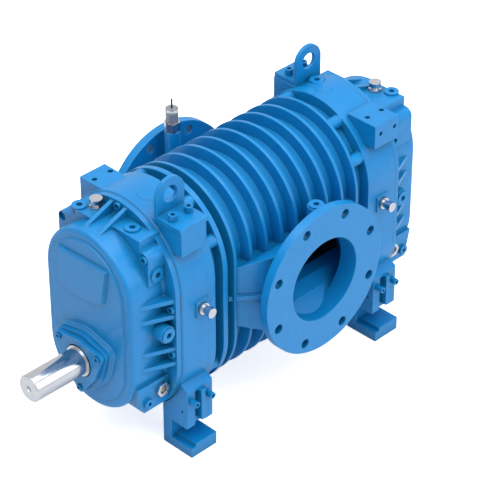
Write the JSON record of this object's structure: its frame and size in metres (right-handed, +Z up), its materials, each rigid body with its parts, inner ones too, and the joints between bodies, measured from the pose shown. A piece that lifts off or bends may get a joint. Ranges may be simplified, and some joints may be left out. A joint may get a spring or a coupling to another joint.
{
  "type": "rotary compressor",
  "caption": "Rotary lobe blower: meshing lobed rotors on geared shafts in a ribbed oblong casing with flanged side ports, end covers, feet and lifting eyes.",
  "frame": {"origin": "on the floor, in the middle of the four foundation holes", "axes": "+X along the shafts away from the drive end, -Y out of the near pipe flange, +Z up"},
  "size_m": [1.011, 0.481, 0.6345],
  "materials": {
    "enamel": "satin blue enamel on cast iron",
    "steel": "bright machined steel",
    "dark_steel": "blackened alloy steel",
    "cast_iron": "machined grey iron",
    "bearing_steel": "ground bearing steel",
    "bronze": "machined bronze",
    "copper": "annealed copper",
    "seal_rubber": "black nitrile rubber",
    "gasket_paper": "dark jointing sheet",
    "clear_glass": "clear"
  },
  "bodies": {
    "base": {"rotor_casing": "enamel", "drive_end_plate": "enamel", "rear_end_plate": "enamel", "drive_end_cover": "enamel", "rear_end_cover": "enamel", "drive_cover_gasket": "gasket_paper", "rear_cover_gasket": "gasket_paper", "foot_drive_near": "enamel", "foot_drive_far": "enamel", "foot_rear_near": "enamel", "foot_rear_far": "enamel", "foot_screws": "enamel", "lifting_eye_drive": "enamel", "lifting_eye_rear": "enamel", "lifting_eye_screws": "enamel", "drive_plate_screws": "dark_steel", "rear_plate_screws": "dark_steel", "drive_cover_screws": "enamel", "rear_cover_screws": "enamel", "shaft_seal_cover": "enamel", "seal_cover_screws": "enamel", "shaft_lip_seal": "seal_rubber", "oil_fillers": "steel", "sight_glass_rings": "steel", "sight_glass_lenses": "clear_glass", "oil_drain_plugs": "enamel", "cover_plugs": "enamel", "side_plugs": "steel", "side_plug_washers": "copper", "casing_plug": "enamel", "plate_top_plug": "enamel", "sensor_nut": "steel", "sensor_body": "clear_glass", "sensor_pin": "dark_steel", "bearing_outer_rings": "bearing_steel", "drive_bearing_retainer": "cast_iron", "rear_bearing_retainer": "cast_iron", "retainer_screws": "dark_steel", "labyrinth_rings": "bronze"},
    "drive_rotor_group": {"drive_shaft": "steel", "drive_rotor": "cast_iron", "drive_gear": "dark_steel", "drive_shaft_inner_rings": "bearing_steel", "drive_shaft_sleeve": "steel", "drive_shaft_nuts": "dark_steel", "oil_slinger": "steel"},
    "driven_rotor_group": {"driven_shaft": "steel", "driven_rotor": "cast_iron", "driven_gear": "dark_steel", "driven_shaft_inner_rings": "bearing_steel", "driven_shaft_sleeve": "steel", "driven_shaft_nuts": "dark_steel"},
    "drive_cage_group": {"drive_shaft_balls": "bearing_steel", "drive_shaft_cages": "bronze"},
    "driven_cage_group": {"driven_shaft_balls": "bearing_steel", "driven_shaft_cages": "bronze"}
  },
  "joints": [
    {"name": "drive_rotor_spin", "type": "hinge", "parent": "base", "child": "drive_rotor_group", "pos_m": [0, 0, 0.23], "axis": [1, 0, 0], "continuous": true},
    {"name": "driven_rotor_spin", "type": "hinge", "parent": "base", "child": "driven_rotor_group", "pos_m": [0, 0, 0.4], "axis": [1, 0, 0], "continuous": true},
    {"name": "drive_cage_spin", "type": "hinge", "parent": "base", "child": "drive_cage_group", "pos_m": [0, 0, 0.23], "axis": [1, 0, 0], "continuous": true},
    {"name": "driven_cage_spin", "type": "hinge", "parent": "base", "child": "driven_cage_group", "pos_m": [0, 0, 0.4], "axis": [1, 0, 0], "continuous": true}
  ],
  "couplings": [
    {"joint": "driven_rotor_spin", "follows": "drive_rotor_spin", "ratio": -1},
    {"joint": "drive_cage_spin", "follows": "drive_rotor_spin", "ratio": 0.39091},
    {"joint": "driven_cage_spin", "follows": "drive_rotor_spin", "ratio": -0.39091}
  ]
}
